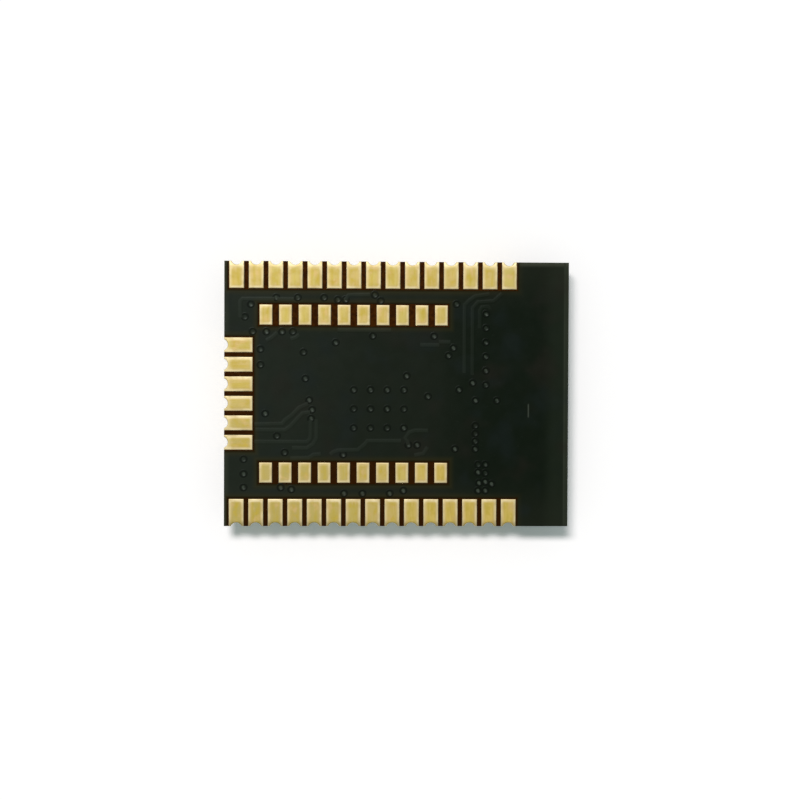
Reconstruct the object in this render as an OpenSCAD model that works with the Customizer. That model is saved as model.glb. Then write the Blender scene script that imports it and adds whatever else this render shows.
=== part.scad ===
// Surface-mount radio module, lying on its shield can with the solder lands up.
// X runs along the board to the antenna end, Y across it and Z up out of the land side.
// The origin is on the outer face of the can's lid, under the middle of the board.

/* [Board] */
// Length of the board, from its plain end to its antenna end
board_l = 17.7; // [17:0.1:20]
// Width of the board, across the two long rows of lands
board_w = 13.6; // [13:0.1:16]
// Thickness of the bare laminate
core_t = 0.7; // [0.5:0.05:1.2]
// Thickness of the copper with its finish
copper_t = 0.05; // [0.045:0.005:0.08]
// Thickness of the solder mask
mask_t = 0.04; // [0.03:0.005:0.04]
// Bare laminate round the rows of lands, inside the windows of the mask
window_relief = 0.06; // [0.04:0.01:0.14]

/* [Edge lands] */
// Pitch of the lands in each row
land_pitch = 1; // [0.9:0.05:1.4]
// Width of an edge land, along its row
edge_land_w = 0.77; // [0.7:0.01:0.8]
// Reach of a land in a long row from the board's edge, on the land side
long_land_l = 1.4; // [1:0.02:1.6]
// Reach of a land in the end row from the board's edge, on the land side
end_land_l = 1.46; // [1:0.02:1.6]
// Reach of an edge land from the board's edge, on the part side
edge_back_l = 0.52; // [0.4:0.02:0.56]
// Diameter of the holes along the edges, which the cut to size leaves less than half of
half_hole_d = 0.68; // [0.4:0.02:0.7]
// From the board's edge out to the centre of these holes
half_hole_out = 0.11; // [0.06:0.01:0.14]
// Thickness of the plating in the holes
plating_t = 0.04; // [0.03:0.005:0.05]
// From the board's plain end to the centre of the first land in a long row
row_inset = 0.63; // [0.55:0.01:1]
// Room for the centres of the lands in a long row
long_row_l = 14; // [10:0.5:15]
// Room for the centres of the lands in the end row
end_row_l = 5; // [3:0.5:6]

/* [Inner lands] */
// Width of an inner land, along its row
inner_land_w = 0.67; // [0.4:0.01:0.8]
// Length of an inner land, across its row
inner_land_l = 1.05; // [0.8:0.05:1.3]
// From the board's long edge to the middle of the inner row
inner_row_inset = 2.75; // [2.6:0.05:3]
// From the first edge land to the first inner land, along the row
inner_row_lag = 1.5; // [1.5:0.1:2.5]
// Room for the centres of the lands in an inner row
inner_row_l = 9; // [6:0.5:11]

/* [Vias] */
// Diameter of the drilled via holes
via_d = 0.25; // [0.2:0.01:0.3]
// Diameter of the dimple that the mask has over a via
dimple_d = 0.28; // [0.16:0.02:0.32]
// Depth of the dimple
dimple_depth = 0.02; // [0.01:0.002:0.024]
// Pitch of the thermal vias along the board
thermal_pitch_x = 0.86; // [0.6:0.02:1]
// Pitch of the thermal vias across the board
thermal_pitch_y = 0.98; // [0.6:0.02:1.2]
// Pitch of the fence vias under the back part of the can's antenna wall
fence_pitch = 0.73; // [0.5:0.01:1]
// From the board's back edge to the first fence via
fence_inset = 2.65; // [2.2:0.05:3]
// Room for the centres of the back fence vias
fence_l = 3.65; // [2:0.05:4]
// Pitch of the fence vias under the front part of the can's antenna wall
front_fence_pitch = 0.45; // [0.35:0.01:0.6]
// From the board's front edge to the first front fence via
front_fence_inset = 1.86; // [1.8:0.02:2.2]
// Room for the centres of the front fence vias
front_fence_l = 1.35; // [0.9:0.05:2]

/* [Shield can] */
// Height of the can, from its lid to its feet
can_h = 1.3; // [1.2:0.05:1.8]
// Thickness of the can's sheet
sheet_t = 0.15; // [0.1:0.01:0.2]
// Outer radius of the folds
fold_r = 0.3; // [0.25:0.05:0.4]
// Slit at the can's corners, between the edges of its walls
corner_slit = 0.05; // [0.03:0.01:0.1]
// From the board's plain edges to the can's walls
can_inset = 0.85; // [0.82:0.02:1]
// From the can's antenna wall to the end of the board
antenna_end_l = 4.2; // [4:0.1:4.8]
// Width of the notch that the feed line runs through
feed_notch_w = 1.2; // [1:0.1:1.4]
// Height of the notch that the feed line runs through
feed_notch_h = 0.35; // [0.2:0.05:0.5]
// Leg of the solder seam along the can's feet
seam_leg = 0.18; // [0.1:0.02:0.2]
// Width of the copper ring under the can's feet
ring_w = 0.5; // [0.4:0.02:0.56]

/* [Antenna] */
// Width of the antenna trace
trace_w = 0.4; // [0.2:0.02:0.5]
// Pitch of the runs in the folded part of the trace
meander_pitch = 1.2; // [1:0.1:1.6]
// From the end of the board to the folded trace
antenna_margin = 0.4; // [0.3:0.05:0.6]
// From the can's ring to the folded trace
antenna_gap = 0.8; // [0.6:0.05:1]
// From the board's front edge to the ground leg
ground_leg_inset = 5.2; // [4:0.1:5.6]
// From the ground leg to the feed line
feed_gap = 1.3; // [1.2:0.05:1.6]

/* [Processor] */
// Side of the square package
soc_w = 7; // [6:0.5:7.5]
// Height of the moulded body
soc_h = 0.75; // [0.6:0.05:0.85]
// Thickness of the contacts under the body
contact_t = 0.05; // [0.03:0.01:0.08]
// Pitch of the contacts
contact_pitch = 0.5; // [0.4:0.05:0.65]
// Width of a contact
contact_w = 0.24; // [0.16:0.02:0.3]
// Length of a contact
contact_l = 0.4; // [0.3:0.05:0.5]
// Side of the die pad
die_pad_w = 4.6; // [4:0.1:4.8]
// From the middle of the can to the middle of the package, along the board
soc_shift_x = 0.75; // [0.4:0.05:1]
// From the middle of the can to the middle of the package, across the board
soc_shift_y = -0.75; // [-0.9:0.05:-0.4]

/* [Parts round the processor] */
// Clear way between neighbouring parts
part_gap = 0.35; // [0.25:0.01:0.4]
// Length of a chip capacitor
chip_l = 1; // [0.8:0.05:1.1]
// Width of a chip capacitor
chip_w = 0.5; // [0.4:0.02:0.6]
// Height of a chip capacitor
chip_h = 0.5; // [0.3:0.05:0.6]
// Length of a chip capacitor's end terminal
chip_end_l = 0.24; // [0.16:0.02:0.3]
// Length of a coil
coil_l = 1.6; // [1.2:0.05:1.8]
// Width of a coil
coil_w = 0.8; // [0.6:0.05:1]
// Height of a coil
coil_h = 0.7; // [0.5:0.05:0.8]
// Length of a coil's end terminal
coil_end_l = 0.35; // [0.25:0.05:0.45]
// Length of the main crystal, along the board
main_crystal_l = 2; // [1.6:0.1:2.2]
// Width of the main crystal
main_crystal_w = 1.6; // [1.2:0.1:1.7]
// Length of the clock crystal, across the board
clock_crystal_l = 3.2; // [2:0.1:3.6]
// Width of the clock crystal
clock_crystal_w = 1.5; // [1.2:0.05:1.6]
// Height of a crystal's ceramic base
crystal_base_t = 0.4; // [0.3:0.05:0.5]
// Height of a crystal's metal lid
crystal_lid_t = 0.2; // [0.1:0.02:0.25]
// Rim of the base left round a crystal's lid
crystal_rim = 0.1; // [0.06:0.02:0.16]
// Side of a crystal's square lands
crystal_land_w = 0.5; // [0.3:0.05:0.6]

/* [Hidden] */
$fn = 48;
// Amount by which a cutter runs past what it cuts
cut = 0.5;
// Amount that keeps a count whole when the room divides evenly
even = 0.001;

// Levels: feet of the can and faces of the parts' lands, two faces of the laminate, land faces
part_land_z = can_h;
part_z = can_h + copper_t;
land_z = part_z + core_t;
top_z = land_z + copper_t;

plain_x = -board_l / 2;
antenna_x = board_l / 2;
edge_y = board_w / 2;

// Centres of the lands along their rows
long_count = floor(long_row_l / land_pitch + even) + 1;
end_count = floor(end_row_l / land_pitch + even) + 1;
inner_count = floor(inner_row_l / land_pitch + even) + 1;
first_land_x = plain_x + row_inset;
long_row_x = [for (i = [0 : long_count - 1]) first_land_x + i * land_pitch];
end_row_y = [for (i = [0 : end_count - 1]) (i - (end_count - 1) / 2) * land_pitch];
inner_row_x = [for (i = [0 : inner_count - 1]) first_land_x + inner_row_lag + i * land_pitch];
inner_y = edge_y - inner_row_inset;

// Can and its ring of copper
can_x0 = plain_x + can_inset;
can_x1 = antenna_x - antenna_end_l;
can_l = can_x1 - can_x0;
can_w = board_w - 2 * can_inset;
can_mid_x = (can_x0 + can_x1) / 2;
ring_x1 = can_x1 + seam_leg;
ring_inside = ring_w - seam_leg;

// Antenna
ground_leg_y = -edge_y + ground_leg_inset;
feed_y = ground_leg_y + feed_gap;
fold_x0 = ring_x1 + antenna_gap;
fold_x1 = antenna_x - antenna_margin - trace_w / 2;
fold_top_y = edge_y - edge_back_l - antenna_margin - trace_w / 2;
fold_count = floor((fold_top_y - feed_y) / meander_pitch);
feed_x0 = can_x1 - ring_inside - chip_end_l;

// Processor, and the parts that stand round it
soc_x = can_mid_x + soc_shift_x;
soc_y = soc_shift_y;
contact_count = floor((soc_w - 1) / contact_pitch + even);
chip_step = chip_l + part_gap;
plain_chips_x = soc_x - soc_w / 2 - part_gap - chip_w / 2;
antenna_chips_x = soc_x + soc_w / 2 + part_gap + chip_w / 2;
front_chips_y = soc_y - soc_w / 2 - part_gap - chip_w / 2;
back_parts_y = soc_y + soc_w / 2 + part_gap + main_crystal_w / 2;
main_crystal_x = soc_x - soc_w / 2 + part_gap + chip_w + main_crystal_l / 2;
load_chip_reach = main_crystal_l / 2 + part_gap + chip_w / 2;
first_coil_x = main_crystal_x + load_chip_reach + chip_w / 2 + part_gap + coil_l / 2;
coil_x = [first_coil_x, first_coil_x + coil_l + part_gap];
clock_crystal_x = plain_chips_x - chip_w / 2 - part_gap - clock_crystal_w / 2;
series_chip_x = feed_x0 + chip_end_l - chip_l / 2;

thermal_x = [for (i = [-1.5 : 1.5]) soc_x + i * thermal_pitch_x];
thermal_y = [for (i = [-1 : 1]) soc_y + i * thermal_pitch_y];
fence_x = can_x1 - sheet_t / 2;
fence_last = floor(fence_l / fence_pitch + even);
front_fence_last = floor(front_fence_l / front_fence_pitch + even);
fence_y = [
    for (i = [0 : fence_last]) edge_y - fence_inset - i * fence_pitch,
    for (i = [0 : front_fence_last]) -edge_y + front_fence_inset + i * front_fence_pitch
];
// Signal vias, from the middle of the board: back strip, middle, plain end, front strip, antenna wall
signal_via_at = [
    [-7.8, 3.95], [-7.5, 4.6], [-6.2, 4.95], [-5.1, 4.95], [-3.75, 4.95], [-3.05, 4.85], [-2.65, 4.85],
    [-1.15, 5.1], [-0.85, 4.8], [3.05, 4.65], [-7.4, 3.2], [-6.7, 3.2], [-5.9, 3.2], [-5.35, 3.2],
    [-3.15, 2.65], [-1.25, 3], [1.9, 3], [2.9, 2.4], [2.65, 2], [3.2, 0.25], [1.6, -0.1], [0.5, 0.95],
    [0.6, -2.6], [1.05, -2.6], [3, -2.8], [-2.75, -3.1],
    [-7, 2.3], [-7, 1.5], [-4.8, 2.15], [-4.7, 0.8], [-4.5, -0.3], [-4.35, -0.8], [-4.4, -1.25],
    [-6.75, -1], [-6.15, -2.15], [-5.75, -3],
    [-7.85, -3.35], [-7.85, -4.1], [-7.85, -4.8], [-5.95, -4.8], [-5.4, -4.9], [-2.7, -5.1],
    [-1.75, -5.1], [-0.35, -5.1], [0.35, -4.95],
    [3.9, 0.6], [4.05, -0.3], [5.15, -0.3], [4.05, -1.6], [4.05, -2], [4.05, -2.4], [4.05, -2.8],
    [4.2, -3.6], [4.2, -4], [4.25, -4.55], [4.2, -4.95], [4.9, -4.6]
];

// Places on the board's edges: Y of a child points in from the edge, X along it
module at_back_row() {
    for (x = long_row_x) translate([x, edge_y, 0]) rotate(180) children();
}

module at_front_row() {
    for (x = long_row_x) translate([x, -edge_y, 0]) children();
}

module at_end_row() {
    for (y = end_row_y) translate([plain_x, y, 0]) rotate(-90) children();
}

module at_edge_lands() {
    at_back_row() children();
    at_front_row() children();
    at_end_row() children();
}

module at_thermal_vias() {
    for (x = thermal_x, y = thermal_y) translate([x, y, 0]) children();
}

module at_fence_vias() {
    for (y = fence_y) translate([fence_x, y, 0]) children();
}

module at_signal_vias() {
    for (at = signal_via_at) translate(at) children();
}

module at_vias() {
    at_thermal_vias() children();
    at_fence_vias() children();
    at_signal_vias() children();
}

// The long and the end walls of the can: X of a child runs along the wall, Y points into the can
module at_long_walls() {
    translate([can_mid_x, -can_w / 2, 0]) children();
    translate([can_mid_x, can_w / 2, 0]) rotate(180) children();
}

module at_end_walls() {
    translate([can_x0, 0, 0]) rotate(-90) children();
    translate([can_x1, 0, 0]) rotate(90) children();
}

// Part side of the board: Z of a child points away from the laminate's face at the lands
module on_part_side() {
    translate([0, 0, part_land_z]) mirror([0, 0, 1]) children();
}

// Box centred on x and y that stands on z = 0
module block(l, w, h) {
    translate([-l / 2, -w / 2, 0]) cube([l, w, h]);
}

// Box from one corner to the opposite one
module span(from, to) {
    translate(from) cube(to - from);
}

// Board

module board_laminate() {
    color("#3a2c1c") difference() {
        span([plain_x, -edge_y, part_z], [antenna_x, edge_y, land_z]);
        at_edge_lands() translate([0, -half_hole_out, part_z - cut])
            cylinder(d = half_hole_d, h = core_t + 2 * cut);
        at_vias() translate([0, 0, part_z - cut]) cylinder(d = via_d, h = core_t + 2 * cut);
    }
}

// Mask window round a row of lands: x0 and x1 are the row's ends, y0 and y1 its sides
module window(x0, x1, y0, y1) {
    grow = [window_relief, window_relief, cut];
    span([x0, y0, land_z] - grow, [x1, y1, land_z + mask_t] + grow);
}

module row_windows() {
    long_x0 = long_row_x[0] - edge_land_w / 2;
    long_x1 = long_row_x[long_count - 1] + edge_land_w / 2;
    window(long_x0, long_x1, edge_y - long_land_l, edge_y);
    window(long_x0, long_x1, -edge_y, -edge_y + long_land_l);
    end_reach = end_row_y[end_count - 1] + edge_land_w / 2;
    window(plain_x, plain_x + end_land_l, -end_reach, end_reach);
    inner_x0 = inner_row_x[0] - inner_land_w / 2;
    inner_x1 = inner_row_x[inner_count - 1] + inner_land_w / 2;
    window(inner_x0, inner_x1, inner_y - inner_land_l / 2, inner_y + inner_land_l / 2);
    window(inner_x0, inner_x1, -inner_y - inner_land_l / 2, -inner_y + inner_land_l / 2);
}

// Ball that leaves a shallow dimple in the mask
module dimple() {
    ball_r = (pow(dimple_d / 2, 2) + pow(dimple_depth, 2)) / (2 * dimple_depth);
    translate([0, 0, land_z + mask_t + ball_r - dimple_depth]) sphere(r = ball_r);
}

module land_side_mask() {
    color("#20241f") difference() {
        span([plain_x, -edge_y, land_z], [antenna_x, edge_y, land_z + mask_t]);
        row_windows();
        at_vias() dimple();
    }
}

// Mask of the part side: it stops at the copper that it leaves bare and covers the antenna
module part_side_mask() {
    color("#20241f") difference() {
        union() {
            span([plain_x, -edge_y, part_z - mask_t], [antenna_x, edge_y, part_z]);
            antenna_runs(trace_w + 2 * mask_t, copper_t + mask_t, ring_x1);
        }
        antenna_runs(trace_w, copper_t, feed_x0);
        at_edge_lands() translate([-edge_land_w / 2, -cut, part_z - cut])
            cube([edge_land_w, edge_back_l + cut, 2 * cut]);
        can_ring();
        processor_lands();
        crystal_lands();
        chip_lands();
    }
}

// Lands

// Edge land: a land on both faces of the board, joined by the plating of its half hole
module edge_land(reach) {
    barrel_t = top_z - part_land_z;
    difference() {
        union() {
            translate([-edge_land_w / 2, 0, land_z]) cube([edge_land_w, reach, copper_t]);
            translate([-edge_land_w / 2, 0, part_land_z]) cube([edge_land_w, edge_back_l, copper_t]);
            intersection() {
                translate([0, -half_hole_out, part_land_z]) cylinder(d = half_hole_d, h = barrel_t);
                translate([-half_hole_d / 2, 0, part_land_z]) cube([half_hole_d, half_hole_d, barrel_t]);
            }
        }
        translate([0, -half_hole_out, part_land_z - cut])
            cylinder(d = half_hole_d - 2 * plating_t, h = barrel_t + 2 * cut);
    }
}

module edge_lands_back() {
    color("#d8bd6a") at_back_row() edge_land(long_land_l);
}

module edge_lands_front() {
    color("#d8bd6a") at_front_row() edge_land(long_land_l);
}

module edge_lands_end() {
    color("#d8bd6a") at_end_row() edge_land(end_land_l);
}

module inner_row(y) {
    for (x = inner_row_x) translate([x, y, land_z]) block(inner_land_w, inner_land_l, copper_t);
}

module inner_lands_back() {
    color("#d8bd6a") inner_row(inner_y);
}

module inner_lands_front() {
    color("#d8bd6a") inner_row(-inner_y);
}

// Plated barrel of a via, as long as the laminate is thick
module via_barrel() {
    translate([0, 0, part_z]) difference() {
        cylinder(d = via_d, h = core_t);
        translate([0, 0, -cut]) cylinder(d = via_d - 2 * plating_t, h = core_t + 2 * cut);
    }
}

module thermal_vias() {
    color("#b87345") at_thermal_vias() via_barrel();
}

module fence_vias() {
    color("#b87345") at_fence_vias() via_barrel();
}

module signal_vias() {
    color("#b87345") at_signal_vias() via_barrel();
}

// Antenna and can

// One straight run of the antenna, square at both ends, on the laminate's part side
module run(from, to, w, t) {
    half = [w / 2, w / 2];
    low = [min(from.x, to.x), min(from.y, to.y)] - half;
    high = [max(from.x, to.x), max(from.y, to.y)] + half;
    span([low.x, low.y, part_z - t], [high.x, high.y, part_z]);
}

// Antenna of width w and thickness t: feed line from x0, ground leg from the ring and the folds
module antenna_runs(w, t, x0) {
    leg_x = fold_x0 + trace_w / 2;
    span([x0, feed_y - w / 2, part_z - t], [fold_x1 + w / 2, feed_y + w / 2, part_z]);
    span([ring_x1, ground_leg_y - w / 2, part_z - t], [leg_x + w / 2, ground_leg_y + w / 2, part_z]);
    run([leg_x, ground_leg_y], [leg_x, feed_y], w, t);
    for (i = [0 : fold_count - 1]) {
        y = feed_y + i * meander_pitch;
        side_x = i % 2 == 0 ? fold_x1 : leg_x;
        run([side_x, y], [side_x, y + meander_pitch], w, t);
        run([leg_x, y + meander_pitch], [fold_x1, y + meander_pitch], w, t);
    }
}

module antenna_trace() {
    color("#b87345") antenna_runs(trace_w, copper_t, feed_x0);
}

// Way through the ring and the can's antenna wall for the feed line
module feed_way(h) {
    span(
        [can_x1 - ring_w, feed_y - feed_notch_w / 2, part_land_z - h],
        [can_x1 + ring_w, feed_y + feed_notch_w / 2, part_z + cut]
    );
}

module can_ring() {
    color("#d8bd6a") difference() {
        span(
            [can_x0 - seam_leg, -can_w / 2 - seam_leg, part_land_z],
            [ring_x1, can_w / 2 + seam_leg, part_z]
        );
        span(
            [can_x0 + ring_inside, -can_w / 2 + ring_inside, part_land_z - cut],
            [can_x1 - ring_inside, can_w / 2 - ring_inside, part_z + cut]
        );
        feed_way(cut);
    }
}

// Bar of length l along a wall. The drawn section's X points into the can and its Y to the feet
module along_wall(l) {
    rotate([90, 0, 90]) linear_extrude(l, center = true) children();
}

// Wall of length l, with its fold to the lid on the length fold_l
module can_wall(l, fold_l) {
    along_wall(l) translate([0, fold_r]) square([sheet_t, can_h - fold_r]);
    along_wall(fold_l) intersection() {
        square(fold_r);
        translate([fold_r, fold_r]) difference() {
            circle(r = fold_r);
            circle(r = fold_r - sheet_t);
        }
    }
}

module shield_can() {
    lid_l = can_l - 2 * fold_r;
    lid_w = can_w - 2 * fold_r;
    color("#c9cac6") difference() {
        union() {
            translate([can_mid_x, 0, 0]) block(lid_l, lid_w, sheet_t);
            at_long_walls() can_wall(can_l, lid_l);
            at_end_walls() can_wall(can_w - 2 * sheet_t - 2 * corner_slit, lid_w);
        }
        feed_way(feed_notch_h);
    }
}

// Cross-section of the seam: hollow triangle between a wall's outer face and the ring
module seam_section() {
    difference() {
        translate([-seam_leg, can_h - seam_leg]) square(seam_leg);
        translate([-seam_leg, can_h - seam_leg]) circle(r = seam_leg);
    }
}

module can_solder() {
    color("#b9bbb8") difference() {
        at_long_walls() along_wall(can_l - 2 * sheet_t) seam_section();
        at_end_walls() along_wall(can_w - 2 * sheet_t) seam_section();
        feed_way(can_h);
    }
}

// Processor

module at_contacts() {
    for (side = [0 : 3], i = [0 : contact_count - 1])
        translate([soc_x, soc_y, 0]) rotate(90 * side)
            translate([(i - (contact_count - 1) / 2) * contact_pitch, -soc_w / 2, 0]) children();
}

// Land of the die pad and the contacts' lands, which reach out past the package
module processor_lands() {
    color("#d8bd6a") {
        translate([soc_x, soc_y, part_land_z]) block(die_pad_w, die_pad_w, copper_t);
        at_contacts() translate([0, contact_l / 2 - part_gap / 4, part_land_z])
            block(contact_w, contact_l + part_gap / 2, copper_t);
    }
}

module processor_contacts() {
    color("#c2c4c2") on_part_side() {
        translate([soc_x, soc_y, 0]) block(die_pad_w, die_pad_w, contact_t);
        at_contacts() translate([0, contact_l / 2, 0]) block(contact_w, contact_l, contact_t);
    }
}

module processor_body() {
    color("#1c1d1f") on_part_side() translate([soc_x, soc_y, contact_t]) block(soc_w, soc_w, soc_h);
}

// Crystals

// Lands under the four corners of a crystal of length l and width w
module crystal_land_set(l, w) {
    for (x = [-1, 1], y = [-1, 1])
        translate([x * (l - crystal_land_w) / 2, y * (w - crystal_land_w) / 2, 0])
            block(crystal_land_w, crystal_land_w, copper_t);
}

module crystal_lands() {
    color("#d8bd6a") translate([0, 0, part_land_z]) {
        translate([main_crystal_x, back_parts_y, 0]) crystal_land_set(main_crystal_l, main_crystal_w);
        translate([clock_crystal_x, soc_y, 0]) crystal_land_set(clock_crystal_w, clock_crystal_l);
    }
}

module crystal_lid(l, w) {
    translate([0, 0, crystal_base_t]) block(l - 2 * crystal_rim, w - 2 * crystal_rim, crystal_lid_t);
}

module main_crystal_base() {
    color("#8d8579") on_part_side() translate([main_crystal_x, back_parts_y, 0])
        block(main_crystal_l, main_crystal_w, crystal_base_t);
}

module main_crystal_lid() {
    color("#cdb98a") on_part_side() translate([main_crystal_x, back_parts_y, 0])
        crystal_lid(main_crystal_l, main_crystal_w);
}

module clock_crystal_base() {
    color("#8d8579") on_part_side() translate([clock_crystal_x, soc_y, 0])
        block(clock_crystal_w, clock_crystal_l, crystal_base_t);
}

module clock_crystal_lid() {
    color("#cdb98a") on_part_side() translate([clock_crystal_x, soc_y, 0])
        crystal_lid(clock_crystal_w, clock_crystal_l);
}

// Chip capacitors and coils

// Places of the capacitors: X of a child runs along the chip
module at_capacitors() {
    for (i = [-2 : 2]) translate([plain_chips_x, soc_y + i * chip_step, 0]) rotate(90) children();
    for (i = [-3, -2, -1, 1, 2])
        translate([antenna_chips_x, feed_y + i * chip_step, 0]) rotate(90) children();
    for (i = [-2 : 2]) translate([soc_x + i * chip_step, front_chips_y, 0]) children();
    for (side = [-1, 1])
        translate([main_crystal_x + side * load_chip_reach, back_parts_y, 0]) rotate(90) children();
    translate([series_chip_x, feed_y, 0]) children();
}

module at_coils() {
    for (x = coil_x) translate([x, back_parts_y, 0]) children();
}

// The two ends of a chip of length l whose terminals are end_l long
module at_ends(l, end_l) {
    for (side = [-1, 1]) translate([side * (l - end_l) / 2, 0, 0]) children();
}

// Lands of the chips. The capacitor on the feed line has the line itself as its second land
module chip_lands() {
    color("#d8bd6a") difference() {
        translate([0, 0, part_land_z]) {
            at_capacitors() at_ends(chip_l, chip_end_l) block(chip_end_l, chip_w, copper_t);
            at_coils() at_ends(coil_l, coil_end_l) block(coil_end_l, coil_w, copper_t);
        }
        translate([feed_x0, feed_y - chip_w, part_land_z - cut])
            cube([chip_l, 2 * chip_w, copper_t + 2 * cut]);
    }
}

module capacitor_bodies() {
    color("#a58a68") on_part_side() at_capacitors() block(chip_l - 2 * chip_end_l, chip_w, chip_h);
}

module capacitor_ends() {
    color("#c2c4c2") on_part_side() at_capacitors()
        at_ends(chip_l, chip_end_l) block(chip_end_l, chip_w, chip_h);
}

module coil_bodies() {
    color("#3b3d42") on_part_side() at_coils() block(coil_l - 2 * coil_end_l, coil_w, coil_h);
}

module coil_ends() {
    color("#c2c4c2") on_part_side() at_coils()
        at_ends(coil_l, coil_end_l) block(coil_end_l, coil_w, coil_h);
}

board_laminate();
land_side_mask();
part_side_mask();
edge_lands_back();
edge_lands_front();
edge_lands_end();
inner_lands_back();
inner_lands_front();
thermal_vias();
fence_vias();
signal_vias();
antenna_trace();
can_ring();
shield_can();
can_solder();
processor_lands();
processor_contacts();
processor_body();
crystal_lands();
main_crystal_base();
main_crystal_lid();
clock_crystal_base();
clock_crystal_lid();
chip_lands();
capacitor_bodies();
capacitor_ends();
coil_bodies();
coil_ends();
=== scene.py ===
"""Looks of a small radio module that lies on its shield can, solder lands up."""
import math

import bmesh
import bpy
from mathutils import Matrix, Vector
from mathutils.bvhtree import BVHTree


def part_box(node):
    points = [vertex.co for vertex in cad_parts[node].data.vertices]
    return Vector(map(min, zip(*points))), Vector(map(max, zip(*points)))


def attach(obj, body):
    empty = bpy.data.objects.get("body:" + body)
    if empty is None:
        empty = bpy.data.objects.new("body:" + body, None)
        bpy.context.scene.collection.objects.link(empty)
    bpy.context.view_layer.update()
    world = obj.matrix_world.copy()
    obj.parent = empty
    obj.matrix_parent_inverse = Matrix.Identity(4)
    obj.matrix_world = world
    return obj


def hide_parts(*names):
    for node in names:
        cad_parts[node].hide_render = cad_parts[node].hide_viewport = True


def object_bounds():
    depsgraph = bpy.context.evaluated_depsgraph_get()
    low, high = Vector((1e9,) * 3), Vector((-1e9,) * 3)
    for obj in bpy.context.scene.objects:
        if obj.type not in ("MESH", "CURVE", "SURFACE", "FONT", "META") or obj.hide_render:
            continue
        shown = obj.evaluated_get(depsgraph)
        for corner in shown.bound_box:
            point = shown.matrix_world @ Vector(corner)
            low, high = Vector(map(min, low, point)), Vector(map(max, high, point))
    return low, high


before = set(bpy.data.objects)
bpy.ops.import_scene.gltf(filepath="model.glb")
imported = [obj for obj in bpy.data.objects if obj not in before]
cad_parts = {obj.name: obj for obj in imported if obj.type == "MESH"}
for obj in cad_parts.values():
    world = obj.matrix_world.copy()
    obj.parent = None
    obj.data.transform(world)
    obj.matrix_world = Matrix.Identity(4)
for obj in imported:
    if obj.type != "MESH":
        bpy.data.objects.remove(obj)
cad_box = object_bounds()

MM = 0.001

# Camera: nearly straight above the board, as the photograph was taken
CAMERA_LENS = 85
CAMERA_AT = Vector((-3.607, 2.096, 100.415)) * MM
CAMERA_TURN = [math.radians(a) for a in (-1.404, -2.357, 0.242)]
CAMERA_CLIP = 0.5 * MM

# Light: a soft strip of three lamps from the upper left and an even pale room
LAMPS_FROM = [Vector((x, 0.83, 2.1)) for x in (-0.66, -0.43, -0.2)]
LAMP_STRENGTH = 1.93 / len(LAMPS_FROM)
LAMP_TINT = (1.0, 0.965, 0.975)
LAMP_SPREAD = math.radians(10)
ROOM_STRENGTH = 0.28
ROOM_TINT = (0.93, 1.0, 0.98)

# Floor: pale paper, shown whiter to the camera and in reflections than it is to the lamps
FLOOR_SIZE = 3.0
FLOOR_GAP = 0.01 * MM
FLOOR_TINT = (0.8, 0.8, 0.79)
FLOOR_SEEN = (1.215, 1.173, 1.178)
FLOOR_GLOW = (0.03, 0.065, 0.06)

# Levels of the module, from its own solids
MASK_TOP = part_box("land_side_mask")[1][2]
LAMINATE_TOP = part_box("board_laminate")[1][2]

# Limits by which shapes are told apart
FLAT = 0.001 * MM
SAME_POINT = 0.0001 * MM
SAME_PLANE = math.radians(0.5)
SHARP_EDGE = math.radians(35)
SQUARE_EDGE = math.radians(60)
LEVEL_NORMAL = 0.99999
ON_PLANE = FLAT / 100

# Edges and rims of the lands, and how strong the painted highlight is on each side, strongest on the
# sides that face the lamps: axis and direction, then share
LAND_EDGE_R = 0.025 * MM
LAND_EDGE_STEPS = 3
LAND_LIP_W = 0.03 * MM
LAND_RIM_W = 0.17 * MM
LAND_PALE_W = 0.25 * MM
LAND_RIM_FALL = 0.003 * MM
LAND_END_L = 0.26 * MM
LAND_END_FALL = 0.03 * MM
LAND_END_STEPS = 4
LAND_CREAM_L = 0.45 * MM
RIM_HIGHLIGHT = {(0, -1): 0.6, (0, 1): 0.9, (1, -1): 1.0}
UPPER_RIM_HIGHLIGHT = 1.6
INNER_BACK_RIM_HIGHLIGHT = 0.75
INNER_FRONT_RIM_HIGHLIGHT = 0.4
END_HIGHLIGHT = {(0, -1): 1.1, (1, -1): 0.0, (1, 1): 1.25}

# Small forms of the mask
MASK_EDGE_R = 0.02 * MM
MASK_EDGE_STEPS = 2
TRACE_W = 0.32 * MM
TRACE_RISE = 0.009 * MM
TRACE_ROUND_STEPS = 3
TRACE_CREST_POWER = 4
VIA_RING_R = 0.17 * MM
VIA_RING_W = 0.1 * MM
VIA_RING_RISE = 0.004 * MM
VIA_RING_SIDES = 8
VIA_RING_STEPS = 18

# Rounded edges of the small parts under the can
PART_EDGE_STEPS = 2
MOULD_EDGE_R = 0.06 * MM
CRYSTAL_BASE_EDGE_R = 0.05 * MM
CRYSTAL_LID_EDGE_R = 0.04 * MM
CAPACITOR_EDGE_R = 0.03 * MM
CAPACITOR_END_EDGE_R = 0.04 * MM
COIL_EDGE_R = 0.05 * MM
COIL_END_EDGE_R = 0.06 * MM

# Rows of lands, each in a window of the mask
LAND_ROWS = (
    "edge_lands_back", "edge_lands_front", "edge_lands_end", "inner_lands_back", "inner_lands_front")

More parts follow.
